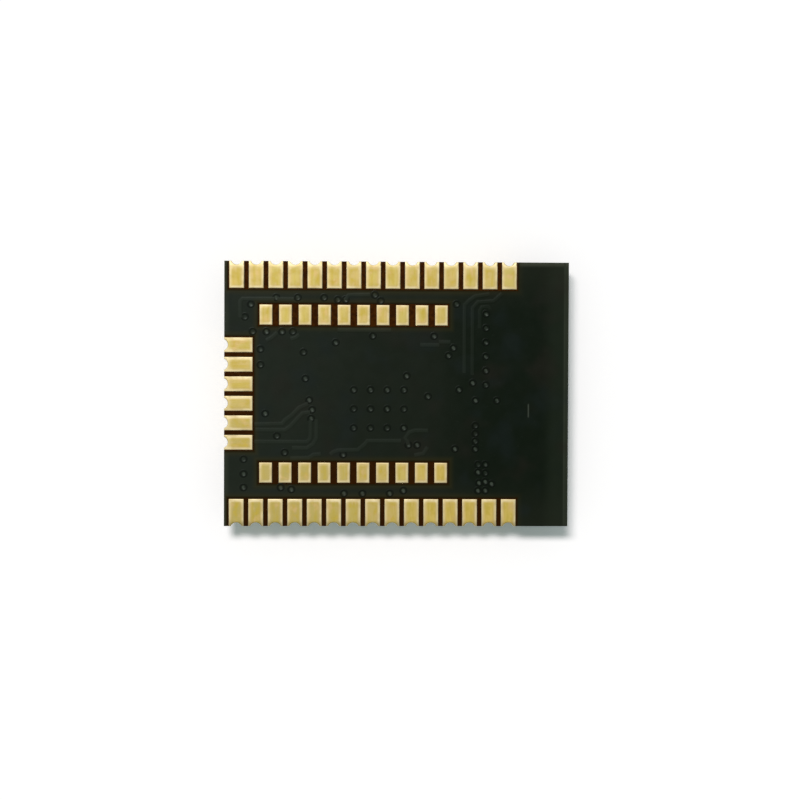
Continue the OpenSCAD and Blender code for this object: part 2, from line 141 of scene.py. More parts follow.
# Traces that lift the mask, as points in mm from the middle of the board
RAISED_TRACES = [
    [(-8.03, 3.9), (-8.03, 4.73), (-7.92, 4.85), (-6.3, 4.85)],
    [(-6.15, 4.84), (-5.3, 4.84)],
    [(-2.65, 4.82), (-2.5, 5.07), (-1.4, 5.09)],
    [(-3.05, 3.27), (-0.3, 3.27)],
    [(-6.13, 3.14), (-6.39, 2.89), (-6.69, 2.72)],
    [(-5.0, 3.03), (-5.18, 2.89), (-5.44, 2.79)],
    [(4.75, 5.15), (4.02, 5.04), (3.72, 4.83), (3.48, 4.6), (3.48, 1.1)],
    [(5.41, 5.19), (4.97, 4.8), (4.16, 4.74), (3.9, 4.45), (3.89, 1.0)],
    [(4.79, 4.38), (4.67, 4.52), (4.38, 4.49), (4.27, 4.31), (4.27, 3.4)],
    [(1.19, 2.52), (2.18, 2.52)],
    [(2.15, 2.68), (2.75, 2.68)],
    [(-7.3, -1.58), (-5.87, -1.54), (-5.72, -1.35), (-5.37, -1.09), (-5.0, -0.71), (-4.55, -0.51)],
    [(-7.25, -1.86), (-5.72, -1.86), (-5.45, -1.66), (-5.03, -1.2), (-4.84, -1.0), (-4.45, -0.94)],
    [(-7.3, -2.47), (-4.6, -2.47), (-4.45, -2.3), (-4.43, -2.06), (-4.43, -1.35)],
    [(-5.37, -2.79), (-4.6, -2.79), (-4.3, -2.59), (-4.12, -2.27), (-4.12, -1.3)],
    [(-5.45, -3.32), (-4.53, -3.3), (-4.25, -3.12), (-3.9, -3.1)],
    [(-3.4, -3.12), (-3.25, -2.99), (-2.99, -2.9), (-1.99, -2.88), (-1.65, -2.6), (-1.5, -2.41),
     (0.23, -2.41)],
    [(0.6, -2.59), (0.55, -2.41), (0.44, -2.24), (0.66, -1.97), (0.94, -1.87), (1.61, -1.88)],
    [(1.61, -2.72), (1.38, -3.06), (0.92, -3.15)],
]


def linear(red, green, blue):
    """A colour as seen on screen, 0 to 255 a channel, as shader numbers."""
    shares = [c / 255 for c in (red, green, blue)]
    return [s / 12.92 if s <= 0.04045 else ((s + 0.055) / 1.055) ** 2.4 for s in shares] + [1.0]


# Mask: broad tones along the board, darker from the left end towards the antenna end, partly painted
# shade away from the lamps at the left and partly the mask over bare board at the antenna end; and where
# in mm each gives way to the next
MASK_AT_LIT_END = linear(30, 36, 28)
MASK_OVER_MIDDLE = linear(23, 29, 20)
MASK_OVER_ANTENNA = linear(11, 20, 9)
MASK_AT_END = linear(24, 32, 21)
LIT_END_TO_MIDDLE = (-7.5, 0.5)
MIDDLE_TO_ANTENNA = (1.0, 4.6)
ANTENNA_TO_END = (7.4, 8.2)

# Mask: paler strips beside the long edges, and painted highlights at the rims and along a thin line near
# the end edge, in mm from the middle of the board
MASK_STRIP = linear(41, 43, 33)
STRIP_FROM, STRIP_TO, STRIP_SHARE = 3.9, 6.7, 0.7
MASK_END_RIM_HIGHLIGHT = linear(60, 65, 52)
END_RIM_FROM, END_RIM_TO, END_RIM_SHARE = 8.5, 8.8, 0.4
MASK_BACK_RIM_HIGHLIGHT = linear(66, 69, 56)
BACK_RIM_FROM, BACK_RIM_TO, BACK_RIM_SHARE = 6.5, 6.75, 0.8
MASK_EDGE_LINE_HIGHLIGHT = linear(46, 52, 41)
EDGE_LINE_AT, EDGE_LINE_FROM, EDGE_LINE_TO = 8.65, 0.06, 0.015

# Mask: tones that copper under it brings out are weaker past the copper's end, in mm
COPPER_FROM, COPPER_TO, PAST_COPPER_SHARE = 2.5, 5.5, 0.45

# Mask: uneven patches
WARM_PATCHES = {"tone": linear(34, 29, 24), "per_mm": 0.45, "span": (0.5, 0.75), "most": 0.45}
COOL_PATCHES = {
    "tone": linear(24, 32, 33), "per_mm": 0.6, "span": (0.5, 0.75), "most": 0.4, "stretch": (1, 1, 3)}
DUST = {"tone": linear(50, 54, 48), "per_mm": 9.0, "span": (0.64, 0.82), "most": 0.25, "detail": 3.0}

# Mask: a painted highlight on the floor of each via's dimple, partly the paler thin mask there, which
# differs from via to via
DIMPLE_FLOOR_GLINT = linear(64, 72, 62)
DIMPLE_DEPTH = (0.008, 0.018)
DIMPLE_LEVEL = (0.935, 0.955)
DIMPLE_GRAIN = {"per_mm": 2.6, "detail": 1.0, "stretch": (1, 1, 0)}
FRONT_DIMPLES = (-2.8, -4.6)
FRONT_DIMPLES_GLINT = (-0.06, 0.12)
GLINT_SPAN = (0.36, 0.62)
GLINT_SHARE = (0.1, 1.0)
HOLLOW_FACING = (0.0, 0.5)
HOLLOW_SPAN = (0.36, 0.64)
HOLLOW_ROUGHER = (0.22, -0.06)

# Mask: one short scratch at the antenna end, in mm
SCRATCH = linear(58, 64, 55)
SCRATCH_AT = (6.79, -0.83)
SCRATCH_HALF_W = (0.02, 0.05)
SCRATCH_HALF_L = (0.28, 0.4)
SCRATCH_DEPTH = 0.1

# Mask: thin and warm in tone round the rows of lands, in mm from the row
MASK_THIN = linear(32, 24, 2)
THIN_FROM, THIN_TO, THIN_SHARE = 0.11, 0.17, 0.85
MASK_WARM = linear(53, 46, 12)
WARM_FROM, WARM_TO, WARM_SHARE = 0.08, 0.42, 0.45
FAR_FROM_ROWS = 1.0

# Mask: painted shade over the rings, a paler tone with a painted highlight on the trace crests, and gloss
RING_PAINTED_SHADE = linear(6, 9, 5)
RING_PAINTED_SHADE_SHARE = 0.65
CREST_PALE_AND_HIGHLIGHT = linear(56, 64, 55)
CREST_PALE_AND_HIGHLIGHT_SHARE = 0.24
WEAR_GRAIN = {"per_mm": 1.6, "detail": 4.0}
MASK_ROUGHNESS = (0.29, 0.34)
PEEL_PER_MM = 14.0
MASK_PEEL = 0.002 * MM
MASK_SPECULAR = 0.1
MASK_SPECULAR_TINT = (0.85, 1.0, 0.88, 1.0)

# Gold: a tone between two for each land, and the front rows' trend along the board, in mm
GOLD_LEMON = linear(195, 179, 103)
GOLD_PEACH = linear(201, 176, 114)
PEACH_SHARE = (0.1, 0.6)
FRONT_ROWS = (1.0, -3.5)
GOLD_DULLER = linear(176, 163, 96)
DULLER_FROM, DULLER_TO, DULLER_SHARE = 0.5, -6.5, 0.6
GOLD_RICHER = linear(219, 192, 98)
RICHER_FROM, RICHER_TO, RICHER_SHARE = -1.5, 3.0, 0.6

# Gold: uneven patches and streaks
GOLD_CLOUDS = {"tone": linear(207, 178, 121), "per_mm": 2.0, "span": (0.5, 0.72), "most": 0.8}
HAZE_GRAIN = {"per_mm": 2.3, "stretch": (1, 1, 4)}
GOLD_HAZE = {"tone": linear(197, 175, 75), "span": (0.5, 0.75), "most": 0.8, **HAZE_GRAIN}
GOLD_STREAKS = {"tone": linear(188, 168, 71), "per_mm": 5.0, "span": (0.4, 0.7), "most": 0.6}
STREAKS_ACROSS = (1.3, 0.2, 1.0)
STREAKS_ALONG = (0.2, 1.3, 1.0)

# Gold: paler sides, and cream rims that are a speckled painted highlight, on faces that look up
GOLD_PALE = linear(199, 179, 130)
PALE_POWER = 2.0
GOLD_CREAM_HIGHLIGHT = linear(226, 212, 168)
CREAM_PER_MM = 2.2
CREAM_SPAN = (0.3, 0.62)
CREAM_SHARE = (0.35, 1.0)
LOOKS_UP = (0.1, 0.7)
LOOKS_UP_SHARE = (0.25, 1.0)
GOLD_ROUGHNESS = (0.52, 0.58)
GRIT_GRAIN = {"per_mm": 22.0, "detail": 3.0}
GOLD_GRIT = 0.0015 * MM

# Laminate: weave of the glass cloth as the cut edge shows it, in mm and in shares of a ply
PLY_T = 0.127
SWAY_GRAIN = {"per_mm": 0.9, "detail": 1.0, "stretch": (1, 1, 0.3)}
PLY_SWAY = 0.012
PLY_SHIFT = 0.5
BUNDLE_L = 0.6
BUNDLE_HALF = 0.31
BUNDLE_SWELL = 0.09
BUNDLE_FADE = 0.14

# Laminate: brown resin under the windows of the mask, darker towards the front edge as painted shade,
# pale glass on the cut edge
RESIN_DARK = linear(50, 23, 2)
RESIN_PALE = linear(68, 35, 3)
RESIN_PER_MM = 6.0
RESIN_SPAN = (0.35, 0.7)
RESIN_FRONT_SHADE = linear(44, 22, 1)
RESIN_FRONT_SHADE_SHARE = 0.75
RESIN_FRONT_SHADE_REACH = 4.5
BETWEEN_BUNDLES = linear(114, 105, 67)
BUNDLES = linear(134, 127, 91)
FIBRE_GRAIN = {"per_mm": 24.0, "stretch": (1.0, 1.0, 1.3)}
FIBRE_ENDS = {"tone": linear(152, 145, 110), "span": (0.45, 0.75), "most": 0.6, **FIBRE_GRAIN}
SAW_MARKS = {"tone": linear(100, 92, 56), "per_mm": 1.1, "span": (0.4, 0.7), "most": 0.35}
LEVEL_FACE = (0.4, 0.7)
LAMINATE_ROUGHNESS = (0.55, 0.75)
LAMINATE_RELIEF = 0.006 * MM
LAMINATE_SPECULAR = 0.02

# Plain metals and moulded bodies: broad clouds, and a second tone on the coarsest of the fine grain
FINE_DETAIL = 4.0
COARSEST = (0.55, 0.8)
METAL_CLOUD = {"per_mm": 0.6, "detail": 3.0}
METAL_SECOND_SHARE = 0.4
MOULD_CLOUD_PER_MM = 0.8
MOULD_SECOND_SHARE = 0.5

# Most of a grain's values lie in this range
GRAIN_SPAN = (0.3, 0.7)


def add(tree, kind, sockets=None, **settings):
    """A node with its settings and its inputs, each a value or a socket to link."""
    made = tree.nodes.new(kind)
    for name, value in settings.items():
        setattr(made, name, value)
    for name, value in (sockets or {}).items():
        if isinstance(value, bpy.types.NodeSocket):
            tree.links.new(value, made.inputs[name])
        else:
            made.inputs[name].default_value = value
    return made


def bare_finish(name):
    """A new finish: the material, its node tree and its shader."""
    finish = bpy.data.materials.new(name)
    finish.use_nodes = True
    return finish, finish.node_tree, finish.node_tree.nodes["Principled BSDF"]


def place(tree):
    """Where a point lies in the module's own frame, in mm."""
    coords = add(tree, "ShaderNodeTexCoord").outputs["Object"]
    scale = add(tree, "ShaderNodeVectorMath", {0: coords, "Scale": 1 / MM}, operation="SCALE")
    return scale.outputs[0]


def parts_of(tree, vector):
    """The three numbers of a vector."""
    split = add(tree, "ShaderNodeSeparateXYZ", {0: vector})
    return split.outputs[0], split.outputs[1], split.outputs[2]


def geometry(tree, what):
    """What the mesh itself gives, such as its direction at a point."""
    return add(tree, "ShaderNodeNewGeometry").outputs[what]


def marked(tree, name):
    """A number that a piece's own mesh carries."""
    return add(tree, "ShaderNodeAttribute", attribute_name=name).outputs["Fac"]


def work(tree, kind, *values):
    """The result of a math node of that kind, from numbers or sockets."""
    return add(tree, "ShaderNodeMath", dict(enumerate(values)), operation=kind).outputs[0]


def times(tree, first, second):
    """One share of another."""
    return work(tree, "MULTIPLY", first, second)


def away(tree, value, middle):
    """How far a value is from a middle."""
    return work(tree, "ABSOLUTE", work(tree, "SUBTRACT", value, middle))


def ramp(tree, value, low, high, at_low=0.0, at_high=1.0):
    """A value brought from the range low..high to at_low..at_high, smoothly."""
    sockets = {0: value, 1: low, 2: high, 3: at_low, 4: at_high}
    return add(tree, "ShaderNodeMapRange", sockets, interpolation_type="SMOOTHSTEP").outputs[0]


def speckle(tree, at, per_mm, detail=2.0, stretch=(1, 1, 1)):
    """Uneven grain, 0 to 1, so many grains to the mm, drawn out by stretch."""
    turned = add(tree, "ShaderNodeMapping", {"Vector": at, "Scale": stretch}).outputs[0]
    sockets = {"Vector": turned, "Scale": per_mm, "Detail": detail}
    return add(tree, "ShaderNodeTexNoise", sockets).outputs["Fac"]


def tint(tree, share, first, second):
    """A colour between two, by share."""
    return add(tree, "ShaderNodeMix", {0: share, 6: first, 7: second}, data_type="RGBA").outputs[2]


def patched(tree, at, base, tone, span, most, **grain):
    """A colour with uneven patches of a tone, which grow over a span of the grain's values."""
    return tint(tree, ramp(tree, speckle(tree, at, **grain), *span, 0.0, most), base, tone)


def roughened(tree, height, depth):
    """The surface's direction with a small relief of that depth in metres."""
    return add(tree, "ShaderNodeBump", {"Height": height, "Distance": depth}).outputs[0]


def join(tree, shader, base, roughness, normal):
    """Gives a shader its colour, roughness and relief."""
    for name, socket in (("Base Color", base), ("Roughness", roughness), ("Normal", normal)):
        tree.links.new(socket, shader.inputs[name])


def beside_rows(tree, along, across):
    """How far a point of the mask is from the nearest row of lands, in mm."""
    nearest = FAR_FROM_ROWS
    for row in LAND_ROWS:
        low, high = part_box(row)
        gaps = []
        for value, first, last in ((along, low[0], high[0]), (across, low[1], high[1])):
            off = away(tree, value, (first + last) / 2 / MM)
            gaps.append(work(tree, "SUBTRACT", off, (last - first) / 2 / MM))
        nearest = work(tree, "MINIMUM", work(tree, "MAXIMUM", *gaps), nearest)
    return nearest


def mask_ground(tree, along, across, over_copper):
    """The mask's broad tones: paler over the copper than at the antenna end and darker away from the
    lamps at the left as painted shade, with painted highlights at the rims and along a line near the end
    edge.
    """
    # painted shade: darker from the lit left end towards the antenna end, partly the mask over bare board
    # there
    base = tint(tree, ramp(tree, along, *LIT_END_TO_MIDDLE), MASK_AT_LIT_END, MASK_OVER_MIDDLE)
    base = tint(tree, ramp(tree, along, *MIDDLE_TO_ANTENNA), base, MASK_OVER_ANTENNA)
    base = tint(tree, ramp(tree, along, *ANTENNA_TO_END), base, MASK_AT_END)
    strip = ramp(tree, away(tree, across, 0.0), STRIP_FROM, STRIP_TO, 0.0, STRIP_SHARE)
    base = tint(tree, times(tree, strip, over_copper), base, MASK_STRIP)
    # painted highlight: the mask paler at the end rims, and more at the back rim, which faces the lamps
    rim = ramp(tree, away(tree, along, 0.0), END_RIM_FROM, END_RIM_TO, 0.0, END_RIM_SHARE)
    base = tint(tree, rim, base, MASK_END_RIM_HIGHLIGHT)
    rim = ramp(tree, across, BACK_RIM_FROM, BACK_RIM_TO, 0.0, BACK_RIM_SHARE)
    base = tint(tree, rim, base, MASK_BACK_RIM_HIGHLIGHT)
    # painted highlight along a thin line near the end edge
    edge_line_highlight = ramp(tree, away(tree, along, EDGE_LINE_AT), EDGE_LINE_TO, EDGE_LINE_FROM, 1.0, 0.0)
    return tint(tree, edge_line_highlight, base, MASK_EDGE_LINE_HIGHLIGHT)


def scratch_share(tree, along, across, up):
    """Where the one scratch lies, on the land side only."""
    on_line = ramp(tree, away(tree, along, SCRATCH_AT[0]), *SCRATCH_HALF_W, 1.0, 0.0)
    within = ramp(tree, away(tree, across, SCRATCH_AT[1]), *SCRATCH_HALF_L, 1.0, 0.0)
    land_side = ramp(tree, up, LAMINATE_TOP / MM - SCRATCH_DEPTH, LAMINATE_TOP / MM)
    return times(tree, times(tree, on_line, within), land_side)


def mask_by_rows(tree, base, along, across, over_copper):
    """The mask's tone beside the rows of lands, where it is thin and the board shows through."""
    beside = beside_rows(tree, along, across)
    warmer = times(tree, ramp(tree, beside, WARM_FROM, WARM_TO, WARM_SHARE, 0.0), over_copper)
    base = tint(tree, warmer, base, MASK_WARM)
    return tint(tree, ramp(tree, beside, THIN_FROM, THIN_TO, THIN_SHARE, 0.0), base, MASK_THIN)


def dimple_glint(tree, at, across):
    """How strong the painted highlight in the dimple over each via is, with a trend towards the front
    edge.
    """
    own = speckle(tree, at, **DIMPLE_GRAIN)
    return work(tree, "ADD", own, ramp(tree, across, *FRONT_DIMPLES, *FRONT_DIMPLES_GLINT))


def mask_finish(name, tone=None, share=0.0, rise=0.0):
    """Black solder mask; raised forms have a share of a tone of their own, most at their full rise:
    painted shade over the via rings, and on the trace crests a paler tone with a painted highlight.
    """
    finish, tree, shader = bare_finish(name)
    at = place(tree)
    along, across, up = parts_of(tree, at)
    facing = parts_of(tree, geometry(tree, "Normal"))[2]
    top = MASK_TOP / MM
    over_copper = ramp(tree, along, COPPER_FROM, COPPER_TO, 1.0, PAST_COPPER_SHARE)
    base = mask_ground(tree, along, across, over_copper)
    for patches in (WARM_PATCHES, COOL_PATCHES, DUST):
        base = patched(tree, at, base, **patches)

    # painted highlight on the floor of each via's dimple, partly the paler thin mask there
    glint = dimple_glint(tree, at, across)
    sunk = ramp(tree, up, top - DIMPLE_DEPTH[0], top - DIMPLE_DEPTH[1])
    dimple = times(tree, sunk, ramp(tree, facing, *DIMPLE_LEVEL))
    dimple = times(tree, dimple, ramp(tree, glint, *GLINT_SPAN, *GLINT_SHARE))
    base = tint(tree, dimple, base, DIMPLE_FLOOR_GLINT)
    base = tint(tree, scratch_share(tree, along, across, up), base, SCRATCH)
    base = mask_by_rows(tree, base, along, across, over_copper)
    # on raised forms: painted shade over the via rings; on the trace crests a paler tone of the copper
    # under the mask and a painted highlight
    if rise:
        share = times(tree, ramp(tree, up, top, top + rise / MM, 0.0, share), over_copper)
    if tone:
        base = tint(tree, share, base, tone)

    roughness = ramp(tree, speckle(tree, at, **WEAR_GRAIN), *GRAIN_SPAN, *MASK_ROUGHNESS)
    hollow = times(tree, sunk, ramp(tree, facing, *HOLLOW_FACING))
    rougher = times(tree, hollow, ramp(tree, glint, *HOLLOW_SPAN, *HOLLOW_ROUGHER))
    roughness = work(tree, "ADD", roughness, rougher)
    join(tree, shader, base, roughness, roughened(tree, speckle(tree, at, PEEL_PER_MM), MASK_PEEL))
    shader.inputs["Specular IOR Level"].default_value = MASK_SPECULAR
    shader.inputs["Specular Tint"].default_value = MASK_SPECULAR_TINT
    return finish


def gold_finish(name, with_rim, lines=STREAKS_ACROSS):
    """Gold plating: satin, streaked, in a tone of its own on each land, with pale rims and a speckled
    painted highlight along them.
    """
    finish, tree, shader = bare_finish(name)
    at = place(tree)
    along, across = parts_of(tree, at)[:2]
    peach = ramp(tree, geometry(tree, "Random Per Island"), 0.0, 1.0, *PEACH_SHARE)
    base = tint(tree, peach, GOLD_LEMON, GOLD_PEACH)
    front = ramp(tree, across, *FRONT_ROWS)
    duller = ramp(tree, along, DULLER_TO, DULLER_FROM, DULLER_SHARE, 0.0)
    base = tint(tree, times(tree, front, duller), base, GOLD_DULLER)
    richer = ramp(tree, along, RICHER_FROM, RICHER_TO, 0.0, RICHER_SHARE)
    base = tint(tree, times(tree, front, richer), base, GOLD_RICHER)
    for patches in (GOLD_CLOUDS, GOLD_HAZE, {**GOLD_STREAKS, "stretch": lines}):
        base = patched(tree, at, base, **patches)
    if with_rim:
        facing = parts_of(tree, geometry(tree, "Normal"))[2]
        upper = ramp(tree, facing, *LOOKS_UP, *LOOKS_UP_SHARE)
        pale = work(tree, "POWER", marked(tree, "pale"), PALE_POWER)
        base = tint(tree, times(tree, pale, upper), base, GOLD_PALE)
        # cream rims: a speckled painted highlight, strongest on the sides that face the lamps
        glint_share = ramp(tree, speckle(tree, at, CREAM_PER_MM), *CREAM_SPAN, *CREAM_SHARE)
        cream = times(tree, ramp(tree, marked(tree, "rim"), 0.0, 1.0), glint_share)
        base = tint(tree, times(tree, cream, upper), base, GOLD_CREAM_HIGHLIGHT)
    roughness = ramp(tree, speckle(tree, at, **HAZE_GRAIN), *GRAIN_SPAN, *GOLD_ROUGHNESS)
    grit = speckle(tree, at, **GRIT_GRAIN)
    join(tree, shader, base, roughness, roughened(tree, grit, GOLD_GRIT))
    shader.inputs["Metallic"].default_value = 1.0
    return finish


def woven_glass(tree, at):
    """Share of glass on the cut edge: plies of lens-shaped bundles, each set off against the next."""
    along, across, up = parts_of(tree, at)
    sway = ramp(tree, speckle(tree, at, **SWAY_GRAIN), *GRAIN_SPAN, -PLY_SWAY, PLY_SWAY)
    plies = work(tree, "DIVIDE", work(tree, "ADD", up, sway), PLY_T)
    off_middle = away(tree, work(tree, "FRACT", plies), 0.5)
    bundles = work(tree, "DIVIDE", work(tree, "ADD", along, across), BUNDLE_L)
    bundles = work(tree, "ADD", bundles, times(tree, work(tree, "FLOOR", plies), PLY_SHIFT))
    swell = times(tree, work(tree, "COSINE", times(tree, bundles, math.tau)), BUNDLE_SWELL)
    outside = work(tree, "SUBTRACT", off_middle, work(tree, "ADD", swell, BUNDLE_HALF))
    return ramp(tree, outside, -BUNDLE_FADE, BUNDLE_FADE, 1.0, 0.0)


def laminate_finish():
    """Glass-fibre board: dark resin on its faces, pale plies on its cut edge."""
    finish, tree, shader = bare_finish("board_laminate_cut")
    at = place(tree)
    clouds = ramp(tree, speckle(tree, at, RESIN_PER_MM), *RESIN_SPAN)
    resin = tint(tree, clouds, RESIN_DARK, RESIN_PALE)
    across = parts_of(tree, at)[1]
    # painted shade: resin darker towards the front edge, away from the lamps
    front = ramp(tree, across, -RESIN_FRONT_SHADE_REACH, RESIN_FRONT_SHADE_REACH, RESIN_FRONT_SHADE_SHARE, 0.0)
    resin = tint(tree, front, resin, RESIN_FRONT_SHADE)
    glass = tint(tree, woven_glass(tree, at), BETWEEN_BUNDLES, BUNDLES)
    for patches in (FIBRE_ENDS, SAW_MARKS):
        glass = patched(tree, at, glass, **patches)
    upright = work(tree, "ABSOLUTE", parts_of(tree, geometry(tree, "True Normal"))[2])
    base = tint(tree, ramp(tree, upright, *LEVEL_FACE), glass, resin)
    fibres = speckle(tree, at, **FIBRE_GRAIN)
    roughness = ramp(tree, fibres, *GRAIN_SPAN, *LAMINATE_ROUGHNESS)
    join(tree, shader, base, roughness, roughened(tree, fibres, LAMINATE_RELIEF))
    shader.inputs["Specular IOR Level"].default_value = LAMINATE_SPECULAR
    return finish


def metal_finish(name, dull, bright, roughness, grain, depth, stretch=(1, 1, 1)):
    """A plain metal: two tones, fine rolled or cast grain, uneven gloss."""
    finish, tree, shader = bare_finish(name)
    at = place(tree)
    lines = speckle(tree, at, grain, FINE_DETAIL, stretch)
    cloud = speckle(tree, at, **METAL_CLOUD)
    base = tint(tree, ramp(tree, cloud, *GRAIN_SPAN), dull, bright)
    base = tint(tree, ramp(tree, lines, *COARSEST, 0.0, METAL_SECOND_SHARE), base, dull)
    gloss = ramp(tree, lines, *GRAIN_SPAN, *roughness)
    join(tree, shader, base, gloss, roughened(tree, lines, depth))
    shader.inputs["Metallic"].default_value = 1.0
    return finish


def moulded_finish(name, dark, pale, roughness, grain, depth):
    """A moulded or fired body: fine grain in colour, gloss and relief."""
    finish, tree, shader = bare_finish(name)
    at = place(tree)
    grains = speckle(tree, at, grain, FINE_DETAIL)
    cloud = speckle(tree, at, MOULD_CLOUD_PER_MM)
    base = tint(tree, ramp(tree, cloud, *GRAIN_SPAN), dark, pale)
    base = tint(tree, ramp(tree, grains, *COARSEST, 0.0, MOULD_SECOND_SHARE), base, pale)
    gloss = ramp(tree, grains, *GRAIN_SPAN, *roughness)
    join(tree, shader, base, gloss, roughened(tree, grains, depth))
    return finish


def dress(finish, *nodes):
    """Puts a finish on CAD nodes whose shape stays as it is."""
    for name in nodes:
        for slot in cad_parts[name].material_slots:
            slot.material = finish


def merged_copy(node):
    """The solid of a CAD node with its loose triangles joined into faces."""
    solid = bmesh.new()
    solid.from_mesh(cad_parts[node].data)
    bmesh.ops.remove_doubles(solid, verts=solid.verts, dist=SAME_POINT)
    bmesh.ops.dissolve_limit(solid, angle_limit=SAME_PLANE, verts=solid.verts, edges=solid.edges)
    return solid


def make_piece(solid, name, finish, node=None):
    """Turns a solid into a piece that rides on the module, in place of a node or new."""
    many_sided = [face for face in solid.faces if len(face.verts) > 4]
    bmesh.ops.triangulate(solid, faces=many_sided, quad_method="BEAUTY", ngon_method="BEAUTY")
    for face in solid.faces:
        face.smooth = True
    for edge in solid.edges:
        level = [face.normal.z > LEVEL_NORMAL for face in edge.link_faces]
        edge.smooth = edge.calc_face_angle(0) < SHARP_EDGE and len(set(level)) < 2
    mesh = bpy.data.meshes.new(name)
    solid.to_mesh(mesh)
    solid.free()
    mesh.materials.clear()
    mesh.materials.append(finish)
    piece = bpy.data.objects.new(name, mesh)
    bpy.context.scene.collection.objects.link(piece)
    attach(piece, "root")
    if node:
        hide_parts(node)
    return piece


def round_off(solid, edges, radius, segments):
    """Rounds the given edges of a solid."""
    bmesh.ops.bevel(
        solid, geom=edges, offset=radius, affect="EDGES", segments=segments, profile=0.5, material=-1,
        clamp_overlap=True)


def top_outline(solid, level):
    """Edges where the upper face of a flat solid turns down."""
    return [
        edge for edge in solid.edges
        if all(abs(v.co.z - level) < FLAT for v in edge.verts)
        and edge.is_manifold and edge.calc_face_angle() > SQUARE_EDGE
    ]


def land_sides(land):
    """The four sides of a land seen from above: axis, direction and where the side lies."""
    for axis in (0, 1):
        reach = [v.co[axis] for v in land]
        yield axis, -1, min(reach)
        yield axis, 1, max(reach)


def islands(solid):
    """The separate shells of a solid, as lists of vertices."""
    left = set(solid.verts)
    shells = []
    while left:
        shell = {left.pop()}
        front = list(shell)
        while front:
            for edge in front.pop().link_edges:
                fresh = [v for v in edge.verts if v not in shell]
                shell.update(fresh)
                front += fresh
        left -= shell
        shells.append(list(shell))
    return shells


def cut_strips(solid, top, mouth):
    """Cuts the upper face of a land into a middle, its rims and, at a half hole, strips that roll off."""
    cut = [top] + list(top.edges) + list(top.verts)
    for axis, side, edge in list(land_sides(top.verts)):
        depths = [LAND_LIP_W, LAND_RIM_W, LAND_PALE_W]
        if mouth == (axis, side):
            depths = [LAND_END_L * (step + 1) / LAND_END_STEPS for step in range(LAND_END_STEPS)]
            depths.append(LAND_CREAM_L)
        for depth in depths:
            spot = Vector((0, 0, 0))
            spot[axis] = edge - side * depth
            across = Vector((0, 0, 0))
            across[axis] = 1
            cut = bmesh.ops.bisect_plane(
                solid, geom=cut, dist=ON_PLANE, plane_co=spot, plane_no=across)["geom"]


def nearness(inside, reach):
    """1 at a side or outside it, down to 0 where the reach ends."""
    return max(0.0, 1 - max(0.0, inside) / reach)


def roll_off(land, level, mouth, rim, pale, upper_rim):
    """Lowers a land's rims and its outer end a little, and marks how pale they are and how strong their
    painted highlight is, strongest on the sides that face the lamps.
    """
    rims = {**RIM_HIGHLIGHT, (1, 1): upper_rim}
    thick = level - LAMINATE_TOP
    sides = list(land_sides([v for v in land if v.co.z > level - FLAT]))
    for vert in land:
        fall = 0.0
        for axis, side, edge in sides:
            inside = side * (edge - vert.co[axis])
            if mouth == (axis, side):
                fall += LAND_END_FALL * nearness(inside, LAND_END_L) ** 2
                # painted highlight at the half-hole end: strongest at the back and the left end, none at
                # the front
                glint_share = nearness(inside, LAND_CREAM_L) * END_HIGHLIGHT[axis, side]
            else:
                near = nearness(inside, LAND_RIM_W)
                fall += LAND_RIM_FALL * near
                # painted highlight on the other rims, by side
                glint_share = near * rims[axis, side]
                vert[pale] = max(vert[pale], nearness(inside, LAND_PALE_W))
            vert[rim] = max(vert[rim], glint_share)
        if vert.co.z > LAMINATE_TOP:
            vert.co.z = LAMINATE_TOP + (vert.co.z - LAMINATE_TOP) * (1 - fall / thick)


def soft_lands(node, finish, mouth=None, upper_rim=UPPER_RIM_HIGHLIGHT):
    """A row of lands with the rounded edges that etching and plating leave."""
    solid = merged_copy(node)
    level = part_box(node)[1][2]
    round_off(solid, top_outline(solid, level), LAND_EDGE_R, LAND_EDGE_STEPS)
    tops = [
        face for face in solid.faces
        if face.normal.z > LEVEL_NORMAL and abs(face.calc_center_median().z - level) < FLAT
    ]
    for top in tops:
        cut_strips(solid, top, mouth)
    solid.verts.layers.float.new("rim")
    solid.verts.layers.float.new("pale")
    rim = solid.verts.layers.float["rim"]
    pale = solid.verts.layers.float["pale"]
    for land in islands(solid):
        roll_off(land, level, mouth, rim, pale, upper_rim)
    return make_piece(solid, node.replace("lands", "plating"), finish, node)


def soft_mask(finish):
    """The land side's mask with the rounded window edges that printing leaves."""
    solid = merged_copy("land_side_mask")
    round_off(solid, top_outline(solid, MASK_TOP), MASK_EDGE_R, MASK_EDGE_STEPS)
    return make_piece(solid, "land_side_mask_coat", finish, "land_side_mask")


def soft_parts(node, name, finish, radius):
    """Small parts under the can, with the rounded edges that moulding, firing or dipping leaves."""
    solid = merged_copy(node)
    corners = [edge for edge in solid.edges if edge.calc_face_angle(0) > SQUARE_EDGE]
    round_off(solid, corners, radius, PART_EDGE_STEPS)
    return make_piece(solid, name, finish, node)


def upper_half(solid):
    """Keeps the upper half of closed round forms and closes it underneath."""
    everything = list(solid.verts) + list(solid.edges) + list(solid.faces)
    cut = bmesh.ops.bisect_plane(
        solid, geom=everything, dist=ON_PLANE, plane_co=(0, 0, 0), plane_no=(0, 0, 1),
        clear_inner=True)
    rim = [e for e in cut["geom_cut"] if isinstance(e, bmesh.types.BMEdge)]
    bmesh.ops.holes_fill(solid, edges=rim, sides=0)


def set_on_mask(solid, full, rise):
    """Brings raised forms from their full height to a low rise and sets them on the mask."""
    bmesh.ops.scale(solid, vec=(1, 1, rise / full), verts=solid.verts)
    bmesh.ops.translate(solid, vec=(0, 0, MASK_TOP - FLAT), verts=solid.verts)
    bmesh.ops.recalc_face_normals(solid, faces=solid.faces)


